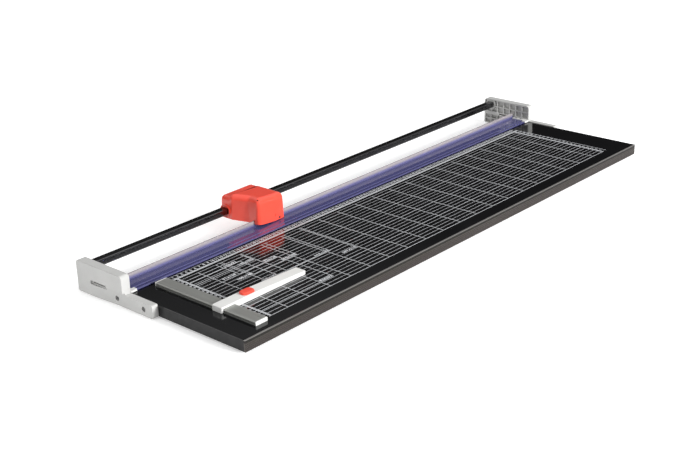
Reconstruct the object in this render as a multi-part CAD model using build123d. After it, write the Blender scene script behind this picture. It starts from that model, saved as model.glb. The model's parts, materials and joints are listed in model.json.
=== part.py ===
from build123d import *
import os
from math import hypot

# Desk rotary paper trimmer, millimetres, +Z up.
# +X runs along the cut, +Y points from the user's edge to the guide rail.
# The origin is under the middle of the whole machine, on the surface it stands on.

os.makedirs("parts", exist_ok=True)

# ---------------------------------------------------------------- driving sizes
table_length = 1140.0
table_depth = 310.0
board_thickness = 20.0
top_sheet_thickness = 1.2
end_edge_thickness = 1.5
foot_height = 4.0
foot_radius = 9.0

profile_thickness = 3.2
profile_bead_radius = 1.3
profile_groove = 0.7

blade_bar_thickness = 3.0
blade_bar_height = 17.0
blade_bar_screws = 10

bracket_thickness = 17.0
bracket_foot_thickness = 12.0
bracket_front_reach = 112.0
bracket_back_reach = 74.0
plate_front_reach = 45.0
plate_rise = 35.0
plate_underside = 5.0
bracket_drop = 22.0
bracket_wall = 3.0
rib_thickness = 2.0
rib_columns = 7
rib_depth = 5.0
foot_top_rise = 1.5

rail_width = 16.0
rail_height = 12.0
rail_corner = 2.0
rail_behind_cut = 57.0
rail_above_table = 23.0
rail_socket_depth = 9.0

left_margin = 74.5
fence_width = 25.0
fence_height = 6.5
fence_length = 235.0
fence_gap_to_zero = 4.5
fence_behind_front = 21.5
fence_cap_length = 2.0

strip_thickness = 2.0
strip_reach = 44.0
strip_wall_offset = 2.0
strip_wall_top = 13.5
strip_lift = 1.0

head_position = 277.0
head_length = 82.0
head_back = 72.0
head_front = 16.0
head_front_bulge = 2.0
head_shoulder = 13.0
head_top = 55.0
head_slope = 3.2
head_draft = 2.0
rear_top = 51.5
head_bottom_left = 10.0
head_bottom_right = 4.0
head_wall = 2.5
head_split = 45.0

disc_radius = 22.5
disc_thickness = 0.8
disc_overlap = 2.0
disc_offset = 6.0
axle_radius = 3.0
roller_offset = 15.5
roller_height = 15.0
roller_width = 4.5
roller_core_radius = 11.0

stop_width = 23.0
stop_height = 10.0
stop_tip_height = 6.5
stop_reach = 159.0
stop_position = 83.25
button_length = 26.0
button_width = 17.0
button_rise = 3.6
button_travel = 2.0
button_corner = 7.0
button_crown = 2.4

# ---------------------------------------------------------------- clearances
running_clearance = 0.05
slide_clearance = 0.3
socket_clearance = 0.05
screw_clearance = 0.1
air_gap = 0.5
strip_passage = 0.6

# ---------------------------------------------------------------- derived places
half_length = table_length / 2
table_top = foot_height + board_thickness
board_bottom = foot_height
front_y = -(table_depth + bracket_back_reach) / 2
cut_y = front_y + table_depth
zero_x = -half_length + left_margin
sheet_bottom = table_top - top_sheet_thickness

bracket_bottom = table_top - bracket_drop
bracket_back_y = cut_y + bracket_back_reach
plate_front_y = cut_y - plate_front_reach
plate_top = table_top + plate_rise
plate_bottom = table_top + plate_underside

rail_y = cut_y + rail_behind_cut
rail_z = table_top + rail_above_table
rail_half_length = half_length + rail_socket_depth - socket_clearance

fence_right_x = zero_x - fence_gap_to_zero
fence_left_x = fence_right_x - fence_width
fence_front_y = front_y + fence_behind_front
fence_back_y = fence_front_y + fence_length

strip_bottom = table_top + strip_lift
strip_top = strip_bottom + strip_thickness
wall_back_y = cut_y - strip_wall_offset
wall_front_y = wall_back_y - strip_thickness
strip_front_y = cut_y - strip_reach

head_x = zero_x + head_position
head_left_x = head_x - head_length / 2
head_right_x = head_x + head_length / 2
disc_x = head_x + disc_offset
disc_z = table_top - disc_overlap + disc_radius
roller_x = head_x + roller_offset
roller_z = table_top + roller_height
roller_radius = roller_z - strip_top - 2 * running_clearance


# ---------------------------------------------------------------- helpers
def block(x0, x1, y0, y1, z0, z1):
    """Box between two corners."""
    size = (abs(x1 - x0), abs(y1 - y0), abs(z1 - z0))
    return Pos((x0 + x1) / 2, (y0 + y1) / 2, (z0 + z1) / 2) * Box(*size)


def rod_x(x0, x1, y, z, radius):
    """Cylinder along X."""
    return Pos((x0 + x1) / 2, y, z) * Rot(0, 90, 0) * Cylinder(radius, abs(x1 - x0))


def rod_y(y0, y1, x, z, radius):
    """Cylinder along Y."""
    return Pos(x, (y0 + y1) / 2, z) * Rot(90, 0, 0) * Cylinder(radius, abs(y1 - y0))


def rod_z(z0, z1, x, y, radius):
    """Cylinder along Z."""
    return Pos(x, y, (z0 + z1) / 2) * Cylinder(radius, abs(z1 - z0))


def along_z(points, z0, z1):
    """Extrude an XY outline from z0 to z1."""
    face = make_face(Polyline(*[(x, y, z0) for x, y in points], close=True))
    return extrude(face, amount=z1 - z0, dir=(0, 0, 1))


def spread(count, first, last):
    """Evenly spaced values from first to last."""
    return [first + (last - first) * i / (count - 1) for i in range(count)]


def save(name, *solids):
    """Write one node; several solids stay separate."""
    shape = solids[0] if len(solids) == 1 else Compound(children=list(solids))
    export_step(shape, "parts/" + name + ".step")


def screw_x(x_head, direction, y, z, shank_radius, length, head_radius, head_height):
    """Pan-head screw along X with a cross slot; direction points to its tip."""
    shank = rod_x(x_head, x_head + direction * length, y, z, shank_radius)
    head = rod_x(x_head - direction * head_height, x_head, y, z, head_radius)
    slot_x = x_head - direction * head_height
    slot = block(slot_x, slot_x + direction * head_height * 0.4, y - 0.5, y + 0.5,
                 z - head_radius * 0.7, z + head_radius * 0.7)
    return shank + head - slot


def screw_y(y_head, direction, x, z, shank_radius, length, head_radius, head_height):
    """Pan-head screw along Y; direction points to its tip."""
    shank = rod_y(y_head, y_head + direction * length, x, z, shank_radius)
    head = rod_y(y_head - direction * head_height, y_head, x, z, head_radius)
    slot_y = y_head - direction * head_height
    slot = block(x - 0.5, x + 0.5, slot_y, slot_y + direction * head_height * 0.4,
                 z - head_radius * 0.7, z + head_radius * 0.7)
    return shank + head - slot


def screw_z(z_head, direction, x, y, shank_radius, length, head_radius, head_height):
    """Pan-head screw along Z; direction points to its tip."""
    shank = rod_z(z_head, z_head + direction * length, x, y, shank_radius)
    head = rod_z(z_head - direction * head_height, z_head, x, y, head_radius)
    return shank + head


# ---------------------------------------------------------------- screw families
wood_screw_radius = 2.0
bracket_screw_length = 30.0
bracket_screw_head = 3.6
bracket_screw_sink = 5.0
bracket_bore_radius = 4.6
bracket_screw_ys = [cut_y - 24.0, cut_y - 90.0]
bracket_screw_z = table_top - board_thickness / 2

foot_inset = 40.0
foot_screw_length = 12.0
foot_xs = [-half_length + foot_inset, 0.0, half_length - foot_inset]
foot_ys = [front_y + foot_inset, cut_y - foot_inset]

fence_screw_ys = spread(3, fence_front_y + 25.0, fence_back_y - 25.0)
fence_screw_x = (fence_left_x + fence_right_x) / 2
fence_screw_bite = 4.0
fence_screw_head = 3.5
fence_screw_head_height = 2.2
fence_screw_sink = 3.0

blade_screw_length = 16.0
blade_screw_head = 3.4
blade_screw_cone = 2.0
blade_screw_xs = spread(blade_bar_screws, -half_length + 30.0, half_length - 30.0)
blade_screw_z = table_top - 9.0

# ---------------------------------------------------------------- table
board = block(-half_length + end_edge_thickness, half_length - end_edge_thickness,
              front_y + profile_thickness, cut_y - blade_bar_thickness, board_bottom, sheet_bottom)
for side in (-1, 1):
    for y in bracket_screw_ys:
        board -= rod_x(side * half_length, side * (half_length - bracket_screw_length), y,
                       bracket_screw_z, wood_screw_radius + screw_clearance)
for x in foot_xs:
    for y in foot_ys:
        board -= rod_z(board_bottom - 1, board_bottom + foot_screw_length - foot_height, x, y,
                       wood_screw_radius + screw_clearance)
for y in fence_screw_ys:
    board -= rod_z(board_bottom - 1, table_top, fence_screw_x, y, wood_screw_radius + screw_clearance)
    board -= rod_z(board_bottom - 1, board_bottom + fence_screw_sink + fence_screw_head_height,
                   fence_screw_x, y, fence_screw_head + air_gap)
for x in blade_screw_xs:
    board -= rod_y(cut_y, cut_y - blade_screw_length, x, blade_screw_z, wood_screw_radius + screw_clearance)

top_sheet = block(-half_length, half_length, front_y + profile_thickness, cut_y - blade_bar_thickness,
                  sheet_bottom, table_top)
for y in fence_screw_ys:
    top_sheet -= rod_z(sheet_bottom - 1, table_top + 1, fence_screw_x, y, wood_screw_radius + screw_clearance)


def end_edge(side):
    """Edge strip on one end of the board, drilled for the bracket screws."""
    strip = block(side * (half_length - end_edge_thickness), side * half_length,
                  front_y + profile_thickness, cut_y - blade_bar_thickness, board_bottom, sheet_bottom)
    for y in bracket_screw_ys:
        strip -= rod_x(side * (half_length - 10), side * (half_length + 10), y, bracket_screw_z,
                       wood_screw_radius + screw_clearance)
    return strip


profile_bottom = board_bottom
profile_body = block(-half_length, half_length, front_y, front_y + profile_thickness,
                     profile_bottom, table_top)
profile_bead = rod_x(-half_length, half_length, front_y + profile_bead_radius,
                     table_top - profile_bead_radius / 2, profile_bead_radius)
front_profile = profile_body + profile_bead
profile_groove_zs = spread(5, profile_bottom + 2.6, table_top - 4.4)
for z in profile_groove_zs:
    front_profile -= Pos(0, front_y, z) * Rot(45, 0, 0) * Box(table_length + 2, profile_groove * 1.4,
                                                             profile_groove * 1.4)

counter_blade = block(-half_length, half_length, cut_y - blade_bar_thickness, cut_y,
                      table_top - blade_bar_height, table_top)
blade_screws = []
for x in blade_screw_xs:
    counter_blade -= rod_y(cut_y - 5, cut_y + 1, x, blade_screw_z, wood_screw_radius + screw_clearance)
    sink = Pos(x, cut_y - blade_screw_cone / 2, blade_screw_z) * Rot(-90, 0, 0) * Cone(
        wood_screw_radius + screw_clearance, blade_screw_head + screw_clearance, blade_screw_cone)
    counter_blade -= sink
    cone = Pos(x, cut_y - blade_screw_cone / 2, blade_screw_z) * Rot(-90, 0, 0) * Cone(
        wood_screw_radius, blade_screw_head, blade_screw_cone)
    shank = rod_y(cut_y - blade_screw_cone, cut_y - blade_screw_length + 1, x, blade_screw_z,
                  wood_screw_radius)
    slot = block(x - 0.5, x + 0.5, cut_y - 0.8, cut_y + 1, blade_screw_z - 2.4, blade_screw_z + 2.4)
    blade_screws.append(cone + shank - slot)

feet = []
foot_screws = []
foot_recess_radius = 5.0
foot_recess_depth = 1.8
foot_screw_head_radius = 4.0
foot_screw_head_height = 1.2
for x in foot_xs:
    for y in foot_ys:
        foot = rod_z(0, board_bottom, x, y, foot_radius)
        foot = chamfer(foot.edges().sort_by(Axis.Z)[0], 1.0)
        foot -= rod_z(-1, foot_recess_depth, x, y, foot_recess_radius)
        foot -= rod_z(-1, board_bottom + 1, x, y, wood_screw_radius + screw_clearance)
        feet.append(foot)
        foot_screws.append(screw_z(foot_recess_depth, 1, x, y, wood_screw_radius,
                                   foot_screw_length - foot_recess_depth,
                                   foot_screw_head_radius, foot_screw_head_height))

save("table_board", board)
save("table_top_sheet", top_sheet)
save("end_edge_left", end_edge(-1))
save("end_edge_right", end_edge(1))
save("front_edge_profile", front_profile)
save("counter_blade", counter_blade)
save("counter_blade_screws", *blade_screws)
save("rubber_feet", *feet)
save("foot_screws", *foot_screws)

# ---------------------------------------------------------------- end brackets
bracket_corner = 7.0
bracket_edge_round = 1.5
slit_bottom = table_top + 1.5
slit_top = table_top + plate_underside
slit_front = (cut_y - 24.0, cut_y - 3.0)
slit_back = (cut_y + 2.0, cut_y + 34.0)
slit_depth = 8.0
mouth_depth = 4.0
mouth_margin = 4.0
mouth_rise = 2.2
bracket_relief_bend = 24.0
bracket_relief_back = 44.0
rail_boss_wall = 2.5
rail_boss_radius = hypot(rail_width, rail_height) / 2 + rail_boss_wall
lock_screw_radius = 2.5
lock_screw_bite = 3.0


def bracket_outline():
    """Side outline of a bracket: a tall plate at the back with a low foot running forward."""
    foot_front_y = cut_y - bracket_front_reach
    foot_top = table_top + foot_top_rise
    outline = [(foot_front_y, bracket_bottom), (bracket_back_y, bracket_bottom), (bracket_back_y, plate_top),
               (plate_front_y, plate_top), (plate_front_y, foot_top), (foot_front_y, foot_top)]
    face = make_face(Polyline(*[(0, y, z) for y, z in outline], close=True))
    tall = [v for v in face.vertices() if v.Z > plate_top - 1]
    face = fillet(tall, bracket_corner)
    low = [v for v in face.vertices() if v.Z < bracket_bottom + 1 and v.Y > cut_y + bracket_back_reach - 1]
    toe = [v for v in face.vertices() if v.Y < foot_front_y + 1]
    return fillet(low + toe, bracket_corner / 2)


def left_bracket():
    """Left bracket, built against the left end of the table."""
    inner = -half_length
    solid = Pos(inner - bracket_thickness, 0, 0) * extrude(bracket_outline(), amount=bracket_thickness,
                                                          dir=(1, 0, 0))
    outer_edges = solid.faces().sort_by(Axis.X)[0].edges()
    solid = fillet(outer_edges, bracket_edge_round)
    foot_outer = inner - bracket_foot_thickness
    plate_outer = inner - bracket_thickness
    relief_front_y = cut_y - bracket_front_reach - 5
    relief_bend_y = cut_y - bracket_relief_bend
    relief_back_y = cut_y + bracket_relief_back
    relief = along_z([(plate_outer - 5, relief_front_y), (foot_outer, relief_front_y),
                      (foot_outer, relief_bend_y), (plate_outer, relief_back_y),
                      (plate_outer - 5, relief_back_y)],
                     bracket_bottom - 5, plate_bottom)
    solid -= relief
    # ribbed inner face of the plate
    rib_front = plate_front_y + bracket_wall
    rib_back = bracket_back_y - bracket_wall
    pitch = (rib_back - rib_front + rib_thickness) / rib_columns
    upper_low = slit_top + rib_thickness
    upper_high = plate_top - bracket_wall
    upper_cell = (upper_high - upper_low - rib_thickness) / 2
    lower_low = bracket_bottom + bracket_wall
    lower_high = slit_bottom - rib_thickness
    lower_cell = (lower_high - lower_low - rib_thickness) / 2
    pocket_floor = inner - rib_depth
    cells = []
    for column in range(rib_columns):
        y0 = rib_front + column * pitch
        y1 = y0 + pitch - rib_thickness
        for row in range(2):
            z0 = upper_low + row * (upper_cell + rib_thickness)
            cells.append(block(pocket_floor, inner + 1, y0, y1, z0, z0 + upper_cell))
        if y0 > cut_y + air_gap:
            for row in range(2):
                z0 = lower_low + row * (lower_cell + rib_thickness)
                cells.append(block(pocket_floor, inner + 1, y0, y1, z0, z0 + lower_cell))
    boss = rod_x(inner - bracket_thickness, inner + 1, rail_y, rail_z, rail_boss_radius)
    for cell in cells:
        solid -= cell - boss
    # slits for the clamp: a blind one for its tongue, an open one behind the cut
    solid -= block(inner - slit_depth, inner + 1, slit_front[0], slit_front[1], slit_bottom, slit_top)
    solid -= block(plate_outer - 1, inner + 1, slit_back[0], slit_back[1], slit_bottom, slit_top)
    # wider mouth of the open slit in the outer face
    mouth = block(plate_outer - 1, plate_outer + mouth_depth, slit_back[0] - mouth_margin,
                  slit_back[1] + mouth_margin, slit_bottom - mouth_rise, slit_top + mouth_rise)
    solid -= fillet(mouth.edges().filter_by(Axis.X), mouth_rise)
    # rail socket and its lock screw
    socket = block(inner - rail_socket_depth, inner + 1,
                   rail_y - rail_width / 2 - socket_clearance, rail_y + rail_width / 2 + socket_clearance,
                   rail_z - rail_height / 2 - socket_clearance, rail_z + rail_height / 2 + socket_clearance)
    solid -= fillet(socket.edges().filter_by(Axis.X), rail_corner)
    solid -= rod_y(rail_y, bracket_back_y + 1, inner - rail_socket_depth / 2, rail_z,
                   lock_screw_radius + screw_clearance)
    # screw holes in the foot
    for y in bracket_screw_ys:
        solid -= rod_x(inner - bracket_thickness - 1, inner + 1, y, bracket_screw_z,
                       wood_screw_radius + screw_clearance)
        solid -= rod_x(inner - bracket_thickness - 1, foot_outer + bracket_screw_sink, y, bracket_screw_z,
                       bracket_bore_radius)
    return solid


bracket_left = left_bracket()
bracket_right = mirror(bracket_left, about=Plane.YZ)

bracket_screws = []
rail_screws = []
for side in (-1, 1):
    seat_x = side * (half_length + bracket_foot_thickness - bracket_screw_sink)
    for y in bracket_screw_ys:
        bracket_screws.append(screw_x(seat_x, -side, y, bracket_screw_z, wood_screw_radius,
                                      bracket_screw_length, bracket_screw_head, 2.4))
    lock_x = side * (half_length + rail_socket_depth / 2)
    tip_y = rail_y + rail_width / 2 - lock_screw_bite
    lock = rod_y(tip_y, bracket_back_y - 1, lock_x, rail_z, lock_screw_radius)
    lock -= rod_y(bracket_back_y - 3, bracket_back_y, lock_x, rail_z, 1.2)
    rail_screws.append(lock)

save("left_end_bracket", bracket_left)
save("right_end_bracket", bracket_right)
save("bracket_screws", *bracket_screws)
save("rail_lock_screws", *rail_screws)

# ---------------------------------------------------------------- guide rail
rail = block(-rail_half_length, rail_half_length, rail_y - rail_width / 2, rail_y + rail_width / 2,
             rail_z - rail_height / 2, rail_z + rail_height / 2)
rail = fillet(rail.edges().filter_by(Axis.X), rail_corner)
rail_groove_width = 1.0
rail_groove_depth = 0.6
for side in (-1, 1):
    for step in (-1, 0, 1):
        y_face = rail_y + side * rail_width / 2
        z_mid = rail_z + step * 2.0
        rail -= block(-rail_half_length - 1, rail_half_length + 1, y_face - rail_groove_depth,
                      y_face + rail_groove_depth, z_mid - rail_groove_width / 2,
                      z_mid + rail_groove_width / 2)
for side in (-1, 1):
    lock_x = side * (half_length + rail_socket_depth / 2)
    rail -= rod_y(rail_y + rail_width / 2 - lock_screw_bite, rail_y + rail_width, lock_x, rail_z,
                  lock_screw_radius + screw_clearance)
save("guide_rail", rail)

# ---------------------------------------------------------------- side fence
fence_body_front = fence_front_y + fence_cap_length
fence_body_back = fence_back_y - fence_cap_length
fence_bevel = 2.0
fence_groove_depth = 2.0
fence_groove_low = 2.0
fence_groove_high = 4.4
fence_top = table_top + fence_height


def fence_section():
    """Cross section of the fence: bevelled left shoulder, a guide groove on each side."""
    x0, x1 = fence_left_x, fence_right_x
    z0 = table_top
    low, high = z0 + fence_groove_low, z0 + fence_groove_high
    points = [(x0, z0), (x1, z0), (x1, low), (x1 - fence_groove_depth, low), (x1 - fence_groove_depth, high),
              (x1, high), (x1, fence_top), (x0 + fence_bevel, fence_top), (x0, fence_top - fence_bevel * 0.7),
              (x0, high), (x0 + fence_groove_depth, high), (x0 + fence_groove_depth, low), (x0, low)]
    return make_face(Polyline(*[(x, 0, z) for x, z in points], close=True))


fence = extrude(fence_section(), amount=fence_body_back - fence_body_front, dir=(0, 1, 0))
fence = Pos(0, fence_body_front, 0) * fence
for y in fence_screw_ys:
    fence -= rod_z(table_top - 1, table_top + fence_screw_bite + 0.5, fence_screw_x, y,
                   wood_screw_radius + screw_clearance)


def fence_cap(y0, y1):
    """Moulded end cap with the fence's outer outline."""
    cap = block(fence_left_x, fence_right_x, y0, y1, table_top, fence_top)
    return fillet(cap.edges().filter_by(Axis.Y).sort_by(Axis.Z)[-2:], 1.2)


fence_screws = [screw_z(board_bottom + fence_screw_sink, 1, fence_screw_x, y, wood_screw_radius,
                        board_thickness - fence_screw_sink + fence_screw_bite,
                        fence_screw_head, fence_screw_head_height) for y in fence_screw_ys]
save("side_fence", fence)
save("fence_cap_front", fence_cap(fence_front_y, fence_body_front))
save("fence_cap_back", fence_cap(fence_body_back, fence_back_y))
save("fence_screws", *fence_screws)

# ---------------------------------------------------------------- sliding stop
stop_y = fence_front_y + stop_position
stop_front_y = stop_y - stop_width / 2
stop_back_y = stop_y + stop_width / 2
stop_skirt = 4.0
stop_left_x = fence_left_x - stop_skirt
stop_right_x = zero_x + stop_reach
stop_bottom = table_top + slide_clearance
stop_top = table_top + stop_height
button_x0 = zero_x + 20.0
button_x1 = button_x0 + button_length
button_pocket_floor = table_top + 3.0
hook_depth = fence_groove_depth - slide_clearance

stop_taper_start = button_x1 + 6.0
arm_points = [(stop_left_x, stop_bottom), (stop_right_x, stop_bottom),
              (stop_right_x, table_top + stop_tip_height), (stop_taper_start, stop_top),
              (stop_left_x, stop_top)]
arm = make_face(Polyline(*[(x, stop_front_y, z) for x, z in arm_points], close=True))
arm = extrude(arm, amount=stop_width, dir=(0, 1, 0))
arm = fillet(arm.edges().filter_by(Axis.Z).sort_by(Axis.X)[-2:], 3.0)
arm = fillet(arm.edges().filter_by(Axis.Z).sort_by(Axis.X)[:2], 2.5)
arm = chamfer(arm.faces().sort_by(Axis.Z)[-1].edges(), 0.8)
channel = block(fence_left_x - slide_clearance, fence_right_x + slide_clearance, stop_front_y - 1,
                stop_back_y + 1, table_top - 1, fence_top + slide_clearance)
arm -= channel
for side, x_face in ((1, fence_left_x - slide_clearance), (-1, fence_right_x + slide_clearance)):
    arm += block(x_face - side * 0.5, x_face + side * hook_depth, stop_front_y + 1.5, stop_back_y - 1.5,
                 table_top + fence_groove_low + slide_clearance,
                 table_top + fence_groove_high - slide_clearance)
# pocket under the button, and the bolt's tunnel
button_y0 = stop_y - button_width / 2
button_y1 = stop_y + button_width / 2
pocket = block(button_x0 - slide_clearance, button_x1 + slide_clearance, button_y0 - slide_clearance,
               button_y1 + slide_clearance, button_pocket_floor, stop_top + 5)
arm -= fillet(pocket.edges().filter_by(Axis.Z), button_corner + slide_clearance)
bolt_height = 2.4
bolt_width = 8.0
bolt_low = button_pocket_floor
arm -= block(fence_right_x - 1, button_x0 + 2, stop_y - bolt_width / 2 - slide_clearance,
             stop_y + bolt_width / 2 + slide_clearance, bolt_low, bolt_low + bolt_height + slide_clearance)

button_bottom = button_pocket_floor + bolt_height + button_travel + 0.4
button = block(button_x0, button_x1, button_y0, button_y1, button_bottom, stop_top + button_rise)
button = fillet(button.edges().filter_by(Axis.Z), button_corner)
button = fillet(button.faces().sort_by(Axis.Z)[-1].edges(), button_crown)
spring_outer = 3.2
spring_inner = 2.4
spring_x = button_x1 - 6.0
button -= rod_z(button_bottom - 1, button_bottom + 2.0, spring_x, stop_y, spring_outer + 0.4)
lock_spring = rod_z(button_pocket_floor, button_bottom + 2.0, spring_x, stop_y, spring_outer)
lock_spring -= rod_z(button_pocket_floor - 1, button_bottom + 3.0, spring_x, stop_y, spring_inner)
bolt_tip_x = fence_right_x + running_clearance
bolt_tail_x = button_x0 + 10.0
bolt = block(bolt_tip_x, bolt_tail_x, stop_y - bolt_width / 2, stop_y + bolt_width / 2,
             bolt_low + running_clearance, bolt_low + bolt_height)
# the button's wedge leg draws the bolt back by bolt_draw for each millimetre of press
bolt_draw = 0.5
leg_width = bolt_width - 2.4
leg_low_z = bolt_low + button_travel + 0.15
leg_x0 = button_x0 + 3.0
leg_x1 = leg_x0 + 1.6
window_x0 = leg_x0 - button_travel * bolt_draw - 0.3


def wedge(x0, x1, gap, z0, z1, width):
    """Block with an upright left face and a right face that leans outwards by bolt_draw."""
    low = x1 + gap + (z0 - leg_low_z) * bolt_draw
    high = x1 + gap + (z1 - leg_low_z) * bolt_draw
    face = make_face(Polyline((x0, 0, z0), (low, 0, z0), (high, 0, z1), (x0, 0, z1), close=True))
    return Pos(0, stop_y - width / 2, 0) * extrude(face, amount=width, dir=(0, 1, 0))


button += wedge(leg_x0, leg_x1, 0.0, leg_low_z, button_bottom, leg_width)
bolt -= wedge(window_x0, leg_x1, 0.1, bolt_low - 0.5, bolt_low + bolt_height + 0.5, leg_width + 0.6)

save("stop_arm", arm)
save("lock_button", button)
save("lock_spring", lock_spring)
save("lock_bolt", bolt)

# ---------------------------------------------------------------- clamp strip
strip_half = half_length - air_gap
strip_inner_round = 3.0
strip_lip = 1.2


def strip_section():
    """J section: flat foot on the sheet, thin front lip, upright wall beside the cut."""
    y0, y1, y2 = strip_front_y, wall_front_y, wall_back_y
    z0, z1, z2 = strip_bottom, strip_top, table_top + strip_wall_top
    points = [(y0, z0), (y2, z0), (y2, z2), (y1, z2), (y1, z1), (y0 + 11.0, z1), (y0 + 9.6, z1 - 0.6),
              (y0 + strip_lip * 2, z1 - 0.2), (y0, z0 + strip_lip)]
    face = make_face(Polyline(*[(0, y, z) for y, z in points], close=True))
    corner = face.vertices().sort_by_distance((0, y1, z1))[0]
    face = fillet(corner, strip_inner_round)
    heel = face.vertices().sort_by_distance((0, y2, z0))[0]
    return fillet(heel, strip_inner_round)


strip = Pos(-strip_half, 0, 0) * extrude(strip_section(), amount=2 * strip_half, dir=(1, 0, 0))

clip_length = 13.0
clip_height = 1.6
clip_bar_length = 7.0
rivet_radius = 1.2
rivet_ys = [cut_y - 27.0, cut_y - 15.0]
tongue_length = 6.0
clip_front_y = cut_y - 46.0
clip_seat_y = cut_y - 37.0
clip_gap = 0.1
clip_back_y = wall_front_y - strip_inner_round - 0.3


def clamp_clip(side):
    """End piece of the strip: a block in its corner, a bar over it and a tongue in the bracket's slit."""
    outer = side * (half_length - air_gap)
    inner = outer - side * clip_length
    nose = block(outer, inner, clip_front_y, clip_seat_y - clip_gap, strip_bottom, strip_top + clip_height)
    nose = fillet(nose.edges().filter_by(Axis.Z).sort_by(Axis.Y)[:2], 1.5)
    bar = block(outer, outer - side * clip_bar_length, clip_seat_y - 1.0, clip_back_y, strip_top,
                strip_top + clip_height)
    tongue = block(outer + side * tongue_length, outer - side * 3.0, slit_front[0] + 1.0,
                   min(slit_front[1] - 1.0, clip_back_y), strip_top, strip_top + clip_height)
    clip = nose + bar + tongue
    for y in rivet_ys:
        clip -= rod_z(strip_bottom - 1, strip_top + 5, outer - side * clip_bar_length / 2, y, rivet_radius)
    return clip


rivets = []
for side in (-1, 1):
    strip -= block(side * half_length, side * (strip_half - clip_length - clip_gap), strip_front_y - 1,
                   clip_seat_y, strip_bottom - 1, strip_top + 1)
    x = side * (half_length - air_gap - clip_bar_length / 2)
    for y in rivet_ys:
        strip -= rod_z(strip_bottom - 1, strip_top + 1, x, y, rivet_radius)
        pin = rod_z(strip_bottom, strip_top + clip_height, x, y, rivet_radius)
        dome = rod_z(strip_top + clip_height, strip_top + clip_height + 0.6, x, y, rivet_radius + 0.8)
        rivets.append(pin + dome)

# arched leaf springs under the tongues, standing in the brackets' slits
leaf_thickness = 0.3
leaf_half = 7.0
leaf_y = (slit_front[0] + clip_back_y) / 2
leaf_rise = strip_top - slit_bottom - leaf_thickness


def leaf_spring(side):
    """Thin arched strip from the slit's floor up to the tongue."""
    low, high = slit_bottom, slit_bottom + leaf_rise
    x0 = side * (half_length + 1.0)
    under = ThreePointArc((x0, leaf_y - leaf_half, low), (x0, leaf_y, high), (x0, leaf_y + leaf_half, low))
    over = ThreePointArc((x0, leaf_y - leaf_half, low + leaf_thickness), (x0, leaf_y, high + leaf_thickness),
                         (x0, leaf_y + leaf_half, low + leaf_thickness))
    left = Line((x0, leaf_y - leaf_half, low), (x0, leaf_y - leaf_half, low + leaf_thickness))
    right = Line((x0, leaf_y + leaf_half, low), (x0, leaf_y + leaf_half, low + leaf_thickness))
    return extrude(make_face([under, over, left, right]), amount=4.0, dir=(side, 0, 0))


save("clamp_lift_springs", leaf_spring(-1), leaf_spring(1))
save("clamp_strip", strip)
save("clamp_clip_left", clamp_clip(-1))
save("clamp_clip_right", clamp_clip(1))
save("clamp_rivets", *rivets)

# ---------------------------------------------------------------- cutting head shells
head_top_z = table_top + head_top
head_low_z = table_top + head_bottom_right
head_back_y = cut_y + head_back
head_front_y = cut_y - head_front
split_y = cut_y + head_split
shoulder_back = cut_y + 40.0
shoulder_front = cut_y + 9.0
block_left_x = head_left_x + head_shoulder
block_mid_x = (block_left_x + head_right_x) / 2
vertical_round = 8.0
front_crown = 10.5
rear_crown = 9.0
inner_crown = 2.5
bush_wall = 0.6
bush_radius = hypot(rail_width, rail_height) / 2 + bush_wall
bush_recess = 0.6
rim_width = 1.8
rim_radius = bush_radius + rim_width
rim_height = 0.8
seat_length = 15.0
seat_wall = 2.4


def head_plan(inset):
    """Plan outline of the head, moved inward by inset: long at the rail, bulging over the cut."""
    left, right = head_left_x + inset, head_right_x - inset
    block_left = block_left_x + inset
    front, back = head_front_y + inset, head_back_y - inset
    outline = Polyline((right, front, 0), (right, back, 0), (left, back, 0), (left, shoulder_back, 0),
                       (block_left, shoulder_front, 0), (block_left, front, 0))
    middle = (block_mid_x, front - head_front_bulge, 0)
    bulge = ThreePointArc((block_left, front, 0), middle, (right, front, 0))
    return make_face([outline, bulge])


def sloped(solid):
    """Turn a solid about the middle of the head's top, which falls towards the right."""
    return Pos(head_x, 0, head_top_z) * Rot(0, head_slope, 0) * Pos(-head_x, 0, -head_top_z) * solid


def head_solid(inset, bottom, top_z, slopes, crown):
    """Head's plan with drafted walls, rounded upright edges and a rounded crown."""
    face = fillet(head_plan(inset).vertices(), vertical_round - inset)
    solid = extrude(face, amount=head_top_z + 15 - bottom, dir=(0, 0, 1), taper=head_draft)
    solid = Pos(0, 0, bottom) * solid
    above = block(head_left_x - 30, head_right_x + 30, head_front_y - 30, head_back_y + 30,
                  top_z - inset, top_z + 60)
    solid -= sloped(above) if slopes else above
    return fillet(solid.faces().sort_by(Axis.Z)[-1].edges(), crown)


def hollow_head(top_z, slopes, crown):
    """Head block, its hollow and its walls, for one of the two shells."""
    outer = head_solid(0.0, head_low_z - 2, top_z, slopes, crown)
    inner = head_solid(head_wall, head_low_z - 2, top_z, slopes, inner_crown)
    return outer, inner, outer - inner


outer_front, front_hollow, front_walls = hollow_head(head_top_z, True, front_crown)
outer_rear, rear_hollow, rear_walls = hollow_head(table_top + rear_top, False, rear_crown)
front_half = block(head_left_x - 20, head_right_x + 20, head_front_y - 40, split_y,
                   table_top - 20, head_top_z + 20)
rear_half = block(head_left_x - 20, head_right_x + 20, split_y, head_back_y + 20,
                  table_top - 20, head_top_z + 20)
outer_head = (outer_front & front_half) + (outer_rear & rear_half)
shell = (front_walls & front_half) + (rear_walls & rear_half)
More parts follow.
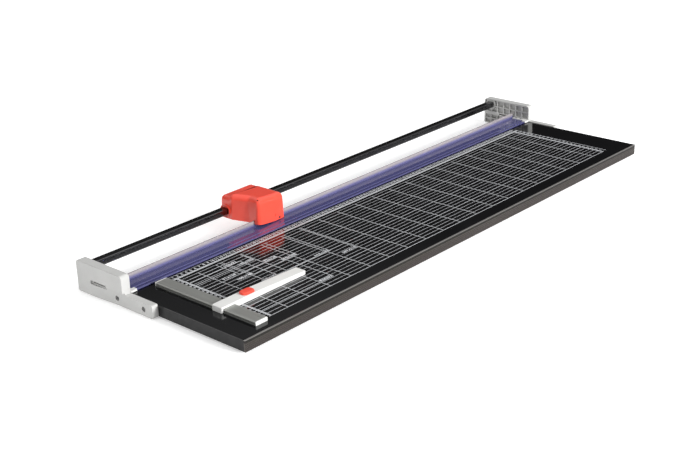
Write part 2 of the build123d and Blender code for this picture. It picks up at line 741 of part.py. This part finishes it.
# finger recess along the joint of the two shells, with its dark lining
recess_width = 9.0
recess_depth = 7.0
recess_left = 8.0
recess_right = 11.0
recess_wall = 1.5
recess_x0 = head_left_x + recess_left
recess_x1 = head_right_x - recess_right
recess_floor = table_top + rear_top - recess_depth
liner_wall = 0.9
liner_drop = 0.6
trough = block(recess_x0 - recess_wall, recess_x1 + recess_wall, split_y - recess_width / 2 - recess_wall,
               split_y + recess_width / 2 + recess_wall, recess_floor - recess_wall, head_top_z + 10)
shell += trough & outer_head
for side, x_face in ((-1, head_left_x), (1, head_right_x)):
    shell += rod_x(x_face + side * rim_height, x_face - side * head_wall * 2, rail_y, rail_z, rim_radius)
    shell += rod_x(x_face, x_face - side * seat_length, rail_y, rail_z, bush_radius + seat_wall) & outer_head
shell -= rod_x(head_left_x - 10, head_right_x + 10, rail_y, rail_z, bush_radius + socket_clearance)
recess = block(recess_x0, recess_x1, split_y - recess_width / 2, split_y + recess_width / 2,
               recess_floor, head_top_z + 20)
recess = fillet(recess.edges().filter_by(Axis.Z), recess_width * 0.4)
shell -= recess
liner_outer = block(recess_x0, recess_x1, split_y - recess_width / 2, split_y + recess_width / 2,
                    recess_floor, table_top + rear_top - liner_drop)
liner_outer = fillet(liner_outer.edges().filter_by(Axis.Z), recess_width * 0.4)
liner_inner = block(recess_x0 + liner_wall, recess_x1 - liner_wall, split_y - recess_width / 2 + liner_wall,
                    split_y + recess_width / 2 - liner_wall, recess_floor + liner_wall, head_top_z + 20)
liner_inner = fillet(liner_inner.edges().filter_by(Axis.Z), recess_width * 0.4 - liner_wall)
recess_liner = liner_outer - liner_inner
# arched underside, lower on the right
under_face = make_face([
    Polyline((head_right_x + 5, 0, head_low_z), (head_right_x + 5, 0, head_low_z - 30),
             (head_left_x - 5, 0, head_low_z - 30), (head_left_x - 5, 0, table_top + head_bottom_left)),
    ThreePointArc((head_left_x - 5, 0, table_top + head_bottom_left),
                  (head_x, 0, table_top + (head_bottom_left + head_bottom_right) / 2 - 1.6),
                  (head_right_x + 5, 0, head_low_z))])
shell -= Pos(0, head_front_y - 10, 0) * extrude(under_face, amount=head_back + head_front + 20, dir=(0, 1, 0))
# passage for the upright wall of the clamp strip
shell -= block(head_left_x - 10, head_right_x + 10, wall_front_y - strip_passage, wall_back_y + strip_passage,
               head_low_z - 10, table_top + strip_wall_top + strip_passage)
# room for the strip's rounded inner corner
shell -= block(head_left_x - 10, head_right_x + 10, wall_front_y - strip_inner_round - strip_passage,
               wall_front_y, head_low_z - 10, strip_top + strip_inner_round + strip_passage)
front_shell = shell & front_half
rear_shell = shell & rear_half

# bosses for the cover screws, one under each end of the recess
boss_radius = 3.6
cover_screw_radius = 1.5
cover_screw_z = recess_floor - recess_wall - boss_radius - 0.5
cover_screw_xs = [head_left_x + 22.0, head_right_x - 12.0]
cover_boss_length = 12.0
cover_screws = []
for x in cover_screw_xs:
    front_shell += rod_y(split_y - cover_boss_length, split_y, x, cover_screw_z, boss_radius) & outer_head
    web = block(x - 1, x + 1, split_y - cover_boss_length, split_y, cover_screw_z + boss_radius - 0.5,
                recess_floor - recess_wall / 2)
    front_shell += web & outer_head
    rear_shell += rod_y(split_y, head_back_y, x, cover_screw_z, boss_radius) & outer_head
    front_shell -= rod_y(split_y - cover_boss_length + 2, split_y + 1, x, cover_screw_z, cover_screw_radius)
    rear_shell -= rod_y(split_y - 1, head_back_y + 1, x, cover_screw_z, cover_screw_radius + screw_clearance)
    rear_shell -= rod_y(split_y + 8.0, head_back_y + 1, x, cover_screw_z, boss_radius - 0.8)
    cover_screws.append(screw_y(split_y + 8.0, -1, x, cover_screw_z, cover_screw_radius, 16.0, 2.5, 2.0))

# ---------------------------------------------------------------- blade, roller and what holds them
disc_front_y = cut_y + running_clearance
disc_back_y = disc_front_y + disc_thickness
hub_radius = 9.0
hub_length = 5.0
hub_back_y = disc_back_y + hub_length
spring_gap = 2.0
carrier_front_y = hub_back_y + spring_gap
carrier_thickness = 3.0
carrier_back_y = carrier_front_y + carrier_thickness
axle_head_radius = 4.5
axle_head_thickness = 1.2

bevel_width = 2.0
disc = rod_y(disc_front_y, disc_back_y, disc_x, disc_z, disc_radius)
disc = chamfer(disc.edges().sort_by(Axis.Y)[-1], disc_thickness * 0.7, bevel_width)
disc -= rod_y(disc_front_y - 1, disc_back_y + 1, disc_x, disc_z, axle_radius + running_clearance)
hub = rod_y(disc_back_y, hub_back_y, disc_x, disc_z, hub_radius)
hub = chamfer(hub.edges().sort_by(Axis.Y)[-1], 0.8)
hub -= rod_y(disc_back_y - 1, hub_back_y + 1, disc_x, disc_z, axle_radius + running_clearance)
axle = rod_y(disc_front_y - running_clearance, carrier_back_y + 3.0, disc_x, disc_z, axle_radius)
axle += rod_y(disc_front_y - running_clearance - axle_head_thickness, disc_front_y - running_clearance,
              disc_x, disc_z, axle_head_radius)
axle_nut = RegularPolygon(radius=5.5, side_count=6)
axle_nut = extrude(axle_nut, amount=2.8)
axle_nut = Pos(disc_x, carrier_back_y + 2.8, disc_z) * Rot(90, 0, 0) * axle_nut
axle_nut -= rod_y(carrier_back_y - 1, carrier_back_y + 5, disc_x, disc_z, axle_radius)
blade_spring = rod_y(hub_back_y + running_clearance, carrier_front_y, disc_x, disc_z, 7.0)
blade_spring -= rod_y(hub_back_y - 1, carrier_front_y + 1, disc_x, disc_z, axle_radius + 0.6)

carrier = block(head_left_x, head_right_x, carrier_front_y, carrier_back_y,
                table_top + strip_wall_top + strip_passage, recess_floor - recess_wall - air_gap)
carrier &= front_hollow
carrier -= rod_y(carrier_front_y - 1, carrier_back_y + 1, disc_x, disc_z, axle_radius)

roller_back_y = wall_front_y - strip_inner_round - 0.4
roller_front_y = roller_back_y - roller_width
roller_axle_radius = 2.0
roller = rod_y(roller_front_y, roller_back_y, roller_x, roller_z, roller_radius)
roller = fillet(roller.edges().filter_by(GeomType.CIRCLE), 0.6)
roller -= rod_y(roller_front_y - 1, roller_back_y + 1, roller_x, roller_z, roller_core_radius)
roller_core = rod_y(roller_front_y, roller_back_y, roller_x, roller_z, roller_core_radius)
roller_core -= rod_y(roller_front_y - 1, roller_back_y + 1, roller_x, roller_z,
                     roller_axle_radius + running_clearance)
roller_axle = rod_y(head_front_y - head_front_bulge - 0.6, roller_back_y + 0.1, roller_x, roller_z,
                    roller_axle_radius)
roller_axle += rod_y(roller_back_y + 0.1, roller_back_y + 1.0, roller_x, roller_z, roller_axle_radius + 1.2)
front_shell -= rod_y(head_front_y - 8, head_front_y + head_wall + 1, roller_x, roller_z, roller_axle_radius)

# screw low on the head's front face
face_screw_x = head_x + 24.5
face_screw_z = table_top + 8.0
face_screw_depth = 1.4
face_screw_radius = 1.1
face_screw_head = 2.2
front_shell -= rod_y(head_front_y - 8, head_front_y + face_screw_depth - 0.6, face_screw_x, face_screw_z,
                     face_screw_head + screw_clearance)
front_shell -= rod_y(head_front_y - 8, head_front_y + 4, face_screw_x, face_screw_z, face_screw_radius)
face_screw = screw_y(head_front_y + face_screw_depth - 0.6, 1, face_screw_x, face_screw_z, face_screw_radius,
                     1.8, face_screw_head, 1.2)


def bushing(x_face, side):
    """Glide bushing around the rail, seated in one end of the head."""
    x_out = x_face - side * bush_recess
    x_in = x_face - side * (seat_length - 1.0)
    collar = rod_x(x_out, x_in, rail_y, rail_z, bush_radius)
    bore = block(x_out + side, x_in - side, rail_y - rail_width / 2 - running_clearance,
                 rail_y + rail_width / 2 + running_clearance, rail_z - rail_height / 2 - running_clearance,
                 rail_z + rail_height / 2 + running_clearance)
    bore = fillet(bore.edges().filter_by(Axis.X), rail_corner)
    return collar - bore


save("head_housing", front_shell)
save("head_rear_cover", rear_shell)
save("cover_screws", *cover_screws)
save("head_face_screw", face_screw)
save("rail_bushing_left", bushing(head_left_x, -1))
save("rail_bushing_right", bushing(head_right_x, 1))
save("blade_carrier", carrier)
save("blade_axle", axle)
save("axle_nut", axle_nut)
save("blade_spring", blade_spring)
save("cutting_disc", disc)
save("disc_hub", hub)
save("roller_axle", roller_axle)
save("pressure_roller", roller)
save("roller_core", roller_core)
save("recess_liner", recess_liner)
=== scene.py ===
# Looks of a desk rotary paper trimmer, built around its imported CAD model.
# Metres, in the frame of the CAD model: +X along the cut, +Y towards the guide rail, +Z up.
import json
import math

import bmesh
import bpy
from mathutils import Euler, Matrix, Vector


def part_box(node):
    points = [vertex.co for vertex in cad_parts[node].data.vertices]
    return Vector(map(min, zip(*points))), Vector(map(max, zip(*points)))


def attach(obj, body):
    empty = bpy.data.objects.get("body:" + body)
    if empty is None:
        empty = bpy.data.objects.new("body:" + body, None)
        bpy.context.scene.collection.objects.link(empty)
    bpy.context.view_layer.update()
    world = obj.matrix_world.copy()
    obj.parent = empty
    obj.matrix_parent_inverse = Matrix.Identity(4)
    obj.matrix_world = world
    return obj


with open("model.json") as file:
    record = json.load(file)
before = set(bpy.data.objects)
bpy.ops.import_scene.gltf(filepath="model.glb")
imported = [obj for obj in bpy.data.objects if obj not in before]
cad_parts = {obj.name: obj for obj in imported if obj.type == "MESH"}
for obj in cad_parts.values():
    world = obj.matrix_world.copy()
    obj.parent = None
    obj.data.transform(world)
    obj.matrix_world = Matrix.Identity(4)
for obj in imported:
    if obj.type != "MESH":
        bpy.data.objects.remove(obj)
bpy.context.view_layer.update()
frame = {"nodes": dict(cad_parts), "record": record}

MM = 0.001


# ------------------------------------------------------------------ camera
def make_camera():
    """Long lens from the front left, looking down along the table."""
    data = bpy.data.cameras.new("camera")
    data.sensor_width = 36.0
    data.lens = 65.44
    data.shift_x = 0.054
    data.shift_y = -0.004
    data.clip_end = 60.0
    camera = bpy.data.objects.new("camera", data)
    camera.location = (-1.720, -1.439, 0.892)
    camera.rotation_euler = Euler([math.radians(a) for a in (67.664, 2.106, -47.156)])
    bpy.context.scene.collection.objects.link(camera)
    bpy.context.scene.camera = camera


# ------------------------------------------------------------------ shader helpers
class Shader:
    """A Principled material with short calls for the procedural detail it carries."""

    def __init__(self, name, color, roughness, metallic=0.0, coat=0.0, specular=0.5):
        self.material = bpy.data.materials.new(name)
        self.material.use_nodes = True
        self.nodes = self.material.node_tree.nodes
        self.links = self.material.node_tree.links
        self.bsdf = self.nodes["Principled BSDF"]
        self.color = (*color, 1.0)
        self.bsdf.inputs["Base Color"].default_value = self.color
        self.bsdf.inputs["Roughness"].default_value = roughness
        self.bsdf.inputs["Metallic"].default_value = metallic
        self.bsdf.inputs["Coat Weight"].default_value = coat
        self.bsdf.inputs["Specular IOR Level"].default_value = specular
        self.coords = self.nodes.new("ShaderNodeTexCoord")

    def stretched(self, stretch):
        """Object coordinates scaled by stretch."""
        mapping = self.nodes.new("ShaderNodeMapping")
        mapping.inputs["Scale"].default_value = stretch
        self.links.new(self.coords.outputs["Object"], mapping.inputs["Vector"])
        return mapping.outputs["Vector"]

    def noise(self, scale, detail=4.0, stretch=(1, 1, 1), roughness=0.55):
        """Noise value over the object, scale in cells per metre."""
        node = self.nodes.new("ShaderNodeTexNoise")
        node.inputs["Scale"].default_value = scale
        node.inputs["Detail"].default_value = detail
        node.inputs["Roughness"].default_value = roughness
        self.links.new(self.stretched(stretch), node.inputs["Vector"])
        return node.outputs["Fac"]

    def ramp(self, value, low, high, low_at=0.3, high_at=0.7):
        """Map a value to a range of greys or colours."""
        node = self.nodes.new("ShaderNodeValToRGB")
        node.color_ramp.elements[0].position = low_at
        node.color_ramp.elements[1].position = high_at
        node.color_ramp.elements[0].color = low if isinstance(low, tuple) else (low, low, low, 1)
        node.color_ramp.elements[1].color = high if isinstance(high, tuple) else (high, high, high, 1)
        self.links.new(value, node.inputs["Fac"])
        return node.outputs["Color"]

    def tint(self, value, spread, low_at=0.3, high_at=0.7):
        """Vary the base colour by a share either way."""
        low = tuple(c * (1 - spread) for c in self.color[:3]) + (1.0,)
        high = tuple(min(1.0, c * (1 + spread)) for c in self.color[:3]) + (1.0,)
        self.links.new(self.ramp(value, low, high, low_at, high_at), self.bsdf.inputs["Base Color"])

    def gloss(self, value, low, high, low_at=0.3, high_at=0.7):
        """Vary the roughness between two values."""
        self.links.new(self.ramp(value, low, high, low_at, high_at), self.bsdf.inputs["Roughness"])

    def bump(self, value, height, strength=1.0):
        """Raise the surface by up to height metres."""
        node = self.nodes.new("ShaderNodeBump")
        node.inputs["Strength"].default_value = strength
        node.inputs["Distance"].default_value = height
        previous = self.bsdf.inputs["Normal"]
        if previous.is_linked:
            self.links.new(previous.links[0].from_socket, node.inputs["Normal"])
        self.links.new(value, node.inputs["Height"])
        self.links.new(node.outputs["Normal"], previous)

    def height_mask(self, low, high):
        """0 below low, 1 above high, by height over the bench."""
        split = self.nodes.new("ShaderNodeSeparateXYZ")
        self.links.new(self.coords.outputs["Object"], split.inputs["Vector"])
        node = self.nodes.new("ShaderNodeMapRange")
        node.inputs["From Min"].default_value = low
        node.inputs["From Max"].default_value = high
        self.links.new(split.outputs["Z"], node.inputs["Value"])
        return node.outputs["Result"]


# ------------------------------------------------------------------ materials
def black_board():
    s = Shader("board_black", (0.014, 0.014, 0.0145), 0.5, specular=0.2)
    s.tint(s.noise(40, 5), 0.25)
    s.gloss(s.noise(70, 4), 0.42, 0.6)
    s.bump(s.noise(900, 3), 0.00006)
    return s.material


def black_sheet():
    s = Shader("sheet_gloss_black", (0.0035, 0.0035, 0.004), 0.1, specular=0.4)
    s.tint(s.noise(14, 4), 0.15)
    s.gloss(s.noise(18, 6), 0.06, 0.14)
    s.bump(s.noise(26, 2), 0.00004, 0.35)
    s.bump(s.noise(1400, 2), 0.000006, 0.5)
    return s.material


def profile_metal():
    """Dark anodised edge profile, with drawing lines, darker through its middle, and a painted
    highlight along its top ridge.
    """
    s = Shader("profile_dark_metal", (0.085, 0.075, 0.070), 0.36, metallic=0.85)
    lines = s.noise(260, 3, stretch=(0.02, 1, 1))
    s.gloss(lines, 0.28, 0.46)
    s.bump(lines, 0.00003, 0.6)
    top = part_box("table_top_sheet")[1].z
    # Colour by height over the table: a painted highlight on the top ridge, darker through the middle.
    rise = s.height_mask(top - 8.0 * MM, top)
    painted_ridge_highlight = s.ramp(rise, (0.075, 0.066, 0.061, 1.0), (0.26, 0.25, 0.24, 1.0), 0.3, 0.97)
    stops = painted_ridge_highlight.node.color_ramp.elements
    dark = stops.new(0.52)
    dark.color = (0.022, 0.020, 0.019, 1.0)
    edge = stops.new(0.86)
    edge.color = (0.030, 0.028, 0.027, 1.0)
    s.links.new(painted_ridge_highlight, s.bsdf.inputs["Base Color"])
    return s.material


def satin_aluminium():
    s = Shader("fence_satin", (0.36, 0.365, 0.345), 0.36, metallic=0.65)
    lines = s.noise(900, 3, stretch=(1, 0.012, 1))
    s.tint(lines, 0.10)
    s.gloss(lines, 0.27, 0.42)
    s.bump(lines, 0.00002, 0.5)
    return s.material


def rail_black():
    s = Shader("rail_black_anodised", (0.15, 0.15, 0.155), 0.14, metallic=1.0)
    lines = s.noise(700, 4, stretch=(0.015, 1, 1))
    s.tint(lines, 0.3)
    s.gloss(lines, 0.08, 0.2)
    s.bump(lines, 0.00003, 0.6)
    return s.material


def steel(name, shade):
    s = Shader(name, (shade, shade, shade * 1.01), 0.3, metallic=1.0)
    lines = s.noise(1500, 3)
    s.tint(lines, 0.12)
    s.gloss(lines, 0.22, 0.42)
    s.bump(lines, 0.00001, 0.5)
    return s.material


def grey_bracket():
    s = Shader("bracket_light_grey", (0.46, 0.46, 0.45), 0.46)
    s.tint(s.noise(22, 5), 0.035)
    s.gloss(s.noise(30, 5), 0.42, 0.56)
    s.bump(s.noise(1600, 3), 0.00003, 0.6)
    s.bump(s.noise(20, 2), 0.0001, 0.15)
    return s.material


def white_plastic():
    s = Shader("plastic_white", (0.66, 0.66, 0.645), 0.36)
    s.tint(s.noise(60, 4), 0.03)
    s.gloss(s.noise(45, 5), 0.3, 0.46)
    s.bump(s.noise(1800, 3), 0.00002, 0.5)
    return s.material


def red_plastic():
    s = Shader("plastic_red", (0.78, 0.072, 0.045), 0.30, coat=0.3)
    s.bsdf.inputs["Coat Roughness"].default_value = 0.2
    s.bsdf.inputs["Subsurface Weight"].default_value = 0.06
    s.bsdf.inputs["Subsurface Scale"].default_value = 0.004
    s.tint(s.noise(35, 5), 0.05)
    s.gloss(s.noise(50, 5), 0.28, 0.42)
    s.bump(s.noise(1300, 3), 0.00003, 0.5)
    return s.material


def black_plastic():
    s = Shader("plastic_black", (0.011, 0.011, 0.0115), 0.4, specular=0.25)
    s.tint(s.noise(60, 4), 0.2)
    s.gloss(s.noise(80, 4), 0.32, 0.5)
    s.bump(s.noise(1500, 3), 0.00002, 0.5)
    return s.material


def black_rubber():
    s = Shader("rubber_black", (0.022, 0.022, 0.023), 0.75)
    s.tint(s.noise(120, 5), 0.25)
    s.gloss(s.noise(160, 4), 0.65, 0.85)
    s.bump(s.noise(1100, 4), 0.00005, 0.7)
    return s.material


def blue_strip():
    """Transparent strip, drawn along its length: violet blue in its foot, and paler up its wall with
    painted light of the pale floor seen through it.
    """
    s = Shader("strip_blue_clear", (0.40, 0.40, 0.74), 0.08, coat=0.3)
    s.bsdf.inputs["Transmission Weight"].default_value = 0.55
    s.bsdf.inputs["IOR"].default_value = 1.49
    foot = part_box("clamp_strip")[0].z
    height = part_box("clamp_strip")[1].z - foot
    fade_start, fade_end = 0.22, 0.72
    # Paler up the wall: painted light of the pale floor showing through the strip.
    rise = s.height_mask(foot + fade_start * height, foot + fade_end * height)
    colour = s.ramp(rise, (0.13, 0.13, 0.34, 1.0), (0.52, 0.48, 0.49, 1.0), 0.0, 1.0)
    s.links.new(colour, s.bsdf.inputs["Base Color"])
    lines = s.noise(500, 3, stretch=(0.01, 1, 1))
    s.gloss(lines, 0.06, 0.12)
    s.bump(lines, 0.000004, 0.3)
    return s.material


def print_ink():
    s = Shader("print_ink_white", (0.56, 0.57, 0.59), 0.5, specular=0.3)
    s.tint(s.noise(300, 4), 0.08)
    s.gloss(s.noise(200, 4), 0.38, 0.55)
    return s.material


def assign_materials():
    """Give each slot of the record its procedural material."""
    moulded_black = black_plastic()
    made = {
        "board": black_board(),
        "sheet": black_sheet(),
        "edge": moulded_black,
        "profile": profile_metal(),
        "blade_steel": steel("steel_ground", 0.52),
        "screw_steel": steel("steel_zinc", 0.45),
        "rubber": black_rubber(),
        "bracket": grey_bracket(),
        "rail": rail_black(),
        "fence": satin_aluminium(),
        "white_plastic": white_plastic(),
        "clear_strip": blue_strip(),
        "red_plastic": red_plastic(),
        "black_plastic": moulded_black,
    }
    slot_of = {p["node"]: p["material_slot"] for p in frame["record"]["subparts"]}
    for node, part in frame["nodes"].items():
        part.data.materials.clear()
        part.data.materials.append(made[slot_of[node]])


# ------------------------------------------------------------------ printed table
INK_LIFT = 0.04 * MM
INK_DEPTH = 0.03 * MM
INK_THICKNESS = INK_LIFT + INK_DEPTH
FENCE_TO_ZERO = 4.5 * MM
CUT_TO_FRONT = 280
cut_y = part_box("counter_blade")[1].y
zero_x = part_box("side_fence")[1].x + FENCE_TO_ZERO
ink_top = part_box("table_top_sheet")[1].z + INK_LIFT

# millimetres right of the ruler's zero, and behind the front grid line
GRID_LEFT, GRID_RIGHT = 13, 986
GRID_BACK = 210
GRID_STEP, BOLD_STEP = 10, 50
SCALE_FRONT = 219
SCALE_LENGTH = 1000
THIN_LINE, BOLD_LINE = 0.7, 1.1
FRAME_LINE = 1.1


def at(x, y):
    """Millimetres right of the ruler's zero and behind the front grid line, as a point on the table."""
    return zero_x + x * MM, cut_y + (y - CUT_TO_FRONT) * MM


def ink_bar(bm, x0, x1, y0, y1):
    """Thin closed bar of ink between two corners, in millimetres on the table."""
    ax, ay = at(min(x0, x1), min(y0, y1))
    bx, by = at(max(x0, x1), max(y0, y1))
    low, high = ink_top - INK_THICKNESS, ink_top
    v = [bm.verts.new(p) for p in ((ax, ay, low), (bx, ay, low), (bx, by, low), (ax, by, low),
                                   (ax, ay, high), (bx, ay, high), (bx, by, high), (ax, by, high))]
    for i in ((3, 2, 1, 0), (4, 5, 6, 7), (0, 1, 5, 4), (1, 2, 6, 5), (2, 3, 7, 6), (3, 0, 4, 7)):
        bm.faces.new([v[k] for k in i])


def grid_lines(bm):
    """Lines each 10 mm along the cut, and each 50 mm across it."""
    for y in range(0, GRID_BACK + 1, GRID_STEP):
        width = BOLD_LINE if y % BOLD_STEP == 0 else THIN_LINE
        ink_bar(bm, GRID_LEFT, GRID_RIGHT, y - width / 2, y + width / 2)
    for x in range(BOLD_STEP, SCALE_LENGTH, BOLD_STEP):
        ink_bar(bm, x - BOLD_LINE / 2, x + BOLD_LINE / 2, 0, GRID_BACK)
    for x in (GRID_LEFT, GRID_RIGHT):
        ink_bar(bm, x - BOLD_LINE / 2, x + BOLD_LINE / 2, 0, SCALE_FRONT)


def tick(value):
    """Length and width of a ruler's tick, longer each 5 and 10 mm."""
    if value % 10 == 0:
        return 5.5, 1.1
    if value % 5 == 0:
        return 4.5, 0.9
    return 3.6, 0.6


def rulers(bm):
    """Millimetre ticks behind the grid and beside it."""
    for x in range(0, SCALE_LENGTH + 1):
        length, width = tick(x)
        ink_bar(bm, x - width / 2, x + width / 2, SCALE_FRONT, SCALE_FRONT + length)
    for y in range(0, SCALE_FRONT):
        length, width = tick(y)
        ink_bar(bm, GRID_LEFT - length, GRID_LEFT, y - width / 2, y + width / 2)
        ink_bar(bm, GRID_RIGHT, GRID_RIGHT + length, y - width / 2, y + width / 2)
    base_line, border, border_gap = 1.2, 0.6, 13.2
    ink_bar(bm, 0, SCALE_LENGTH, SCALE_FRONT - base_line, SCALE_FRONT)
    ink_bar(bm, 0, SCALE_LENGTH, SCALE_FRONT + border_gap, SCALE_FRONT + border_gap + border)
    ink_bar(bm, SCALE_LENGTH, SCALE_LENGTH + 1, 0, SCALE_FRONT)


PAPER = ((128, 91), (148, 105), (182, 128), (210, 148), (257, 182), (297, 210),
         (91, 128), (105, 148), (128, 182), (182, 257))


def format_frames(bm):
    """Corner frames of common paper sizes, set out from the cut line and the fence."""
    for width, depth in PAPER:
        y = CUT_TO_FRONT - depth
        if y < SCALE_FRONT:
            ink_bar(bm, GRID_LEFT, width, y - FRAME_LINE / 2, y + FRAME_LINE / 2)
            ink_bar(bm, width - FRAME_LINE, width, y, GRID_BACK)


DIGIT_PITCH = 0.82
BACK_DIGIT, SIDE_DIGIT, LABEL_DIGIT = 5.2, 4.4, 6.0


def digit_mesh(digit):
    """One character of ink, about one unit high, with its lower left corner at the origin."""
    curve = bpy.data.curves.new("digit", "FONT")
    curve.body = digit
    curve.size = 1.35
    curve.offset = 0.06
    curve.extrude = 0.5
    curve.resolution_u = 3
    holder = bpy.data.objects.new("digit", curve)
    bpy.context.scene.collection.objects.link(holder)
    bpy.context.view_layer.update()
    mesh = bpy.data.meshes.new_from_object(holder.evaluated_get(bpy.context.evaluated_depsgraph_get()))
    bpy.data.objects.remove(holder)
    return mesh


def number(bm, digits, text, x, y, size):
    """Digits of ink, size millimetres high, with their lower left corner at a place on the table."""
    px, py = at(x, y)
    place = Matrix.Translation((px, py, ink_top - INK_THICKNESS / 2))
    scale = Matrix.Diagonal((size * MM, size * MM, INK_THICKNESS, 1))
    for i, digit in enumerate(text):
        mesh = digits[digit].copy()
        step = Matrix.Translation((i * DIGIT_PITCH * size * MM, 0, 0))
        mesh.transform(place @ step @ scale)
        bm.from_mesh(mesh)
        bpy.data.meshes.remove(mesh)


def numbers(bm):
    """Centimetre numbers on the rulers, and the sizes in the frames' corners."""
    digits = {d: digit_mesh(d) for d in "0123456789x"}
    back_y = SCALE_FRONT + 6.6
    for x in range(GRID_STEP, SCALE_LENGTH, GRID_STEP):
        text = str(x // 10)
        number(bm, digits, text, x - 0.42 * BACK_DIGIT * len(text), back_y, BACK_DIGIT)
    for y in range(GRID_STEP, SCALE_FRONT, GRID_STEP):
        text = str(y // 10)
        middle_y = y - 2.4
        number(bm, digits, text, 1.2 if len(text) > 1 else 3.2, middle_y, SIDE_DIGIT)
        number(bm, digits, text, GRID_RIGHT + 7.0, middle_y, SIDE_DIGIT)
    label_length, label_lift = 34, 1.7
    for width, depth in PAPER:
        y = CUT_TO_FRONT - depth
        if y < GRID_BACK - 5:
            number(bm, digits, f"{width}x{depth}", width - label_length, y + label_lift, LABEL_DIGIT)
    for mesh in digits.values():
        bpy.data.meshes.remove(mesh)


def make_print(ink):
    """Everything printed on the table, as one thin piece."""
    bm = bmesh.new()
    grid_lines(bm)
    rulers(bm)
    format_frames(bm)
    numbers(bm)
    mesh = bpy.data.meshes.new("table_print")
    bm.to_mesh(mesh)
    bm.free()
    mesh.materials.append(ink)
    piece = bpy.data.objects.new("table_print", mesh)
    bpy.context.scene.collection.objects.link(piece)
    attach(piece, "root")


# ------------------------------------------------------------------ studio
def make_floor():
    """Large pale floor under the object."""
    bm = bmesh.new()
    half = 14.0
    corners = ((-half, -half), (half, -half), (half, half), (-half, half))
    bm.faces.new([bm.verts.new((x, y, 0)) for x, y in corners])
    mesh = bpy.data.meshes.new("floor")
    bm.to_mesh(mesh)
    bm.free()
    s = Shader("floor_pale", (0.93, 0.93, 0.93), 0.9, specular=0.1)
    s.tint(s.noise(0.8, 2), 0.01)
    s.bsdf.inputs["Emission Color"].default_value = (1, 1, 1, 1)
    s.bsdf.inputs["Emission Strength"].default_value = 0.35
    mesh.materials.append(s.material)
    floor = bpy.data.objects.new("floor", mesh)
    bpy.context.scene.collection.objects.link(floor)


def area_light(name, place, size, power, target=(0, 0, 0.03)):
    """Soft rectangular light that faces a point, and doesn't show as a patch in the gloss black."""
    data = bpy.data.lights.new(name, "AREA")
    data.shape = "RECTANGLE"
    data.size, data.size_y = size
    data.energy = power
    light = bpy.data.objects.new(name, data)
    light.location = place
    light.visible_glossy = False
    light.rotation_euler = (Vector(target) - Vector(place)).to_track_quat("-Z", "Y").to_euler()
    bpy.context.scene.collection.objects.link(light)


def make_world():
    """Bright overhead sky that fades to dark near the horizon, so that gloss black stays black."""
    world = bpy.data.worlds.new("studio")
    bpy.context.scene.world = world
    world.use_nodes = True
    nodes, links = world.node_tree.nodes, world.node_tree.links
    coords = nodes.new("ShaderNodeTexCoord")
    split = nodes.new("ShaderNodeSeparateXYZ")
    ramp = nodes.new("ShaderNodeValToRGB")
    ramp.color_ramp.elements[0].position = 0.38
    ramp.color_ramp.elements[0].color = (0.03, 0.03, 0.03, 1)
    ramp.color_ramp.elements[1].position = 0.75
    ramp.color_ramp.elements[1].color = (1, 1, 1, 1)
    links.new(coords.outputs["Generated"], split.inputs["Vector"])
    links.new(split.outputs["Z"], ramp.inputs["Fac"])
    links.new(ramp.outputs["Color"], nodes["Background"].inputs["Color"])
    nodes["Background"].inputs["Strength"].default_value = 0.8


def make_lights():
    area_light("key", (0.5, -3.0, 1.0), (1.6, 0.9), 195)
    area_light("side", (-3.2, 0.3, 1.3), (1.2, 1.2), 30)
    area_light("rim", (0.6, 2.6, 2.4), (2.4, 0.8), 10)


make_camera()
assign_materials()
make_print(print_ink())
make_floor()
make_world()
make_lights()
bpy.context.scene.view_settings.view_transform = "Standard"
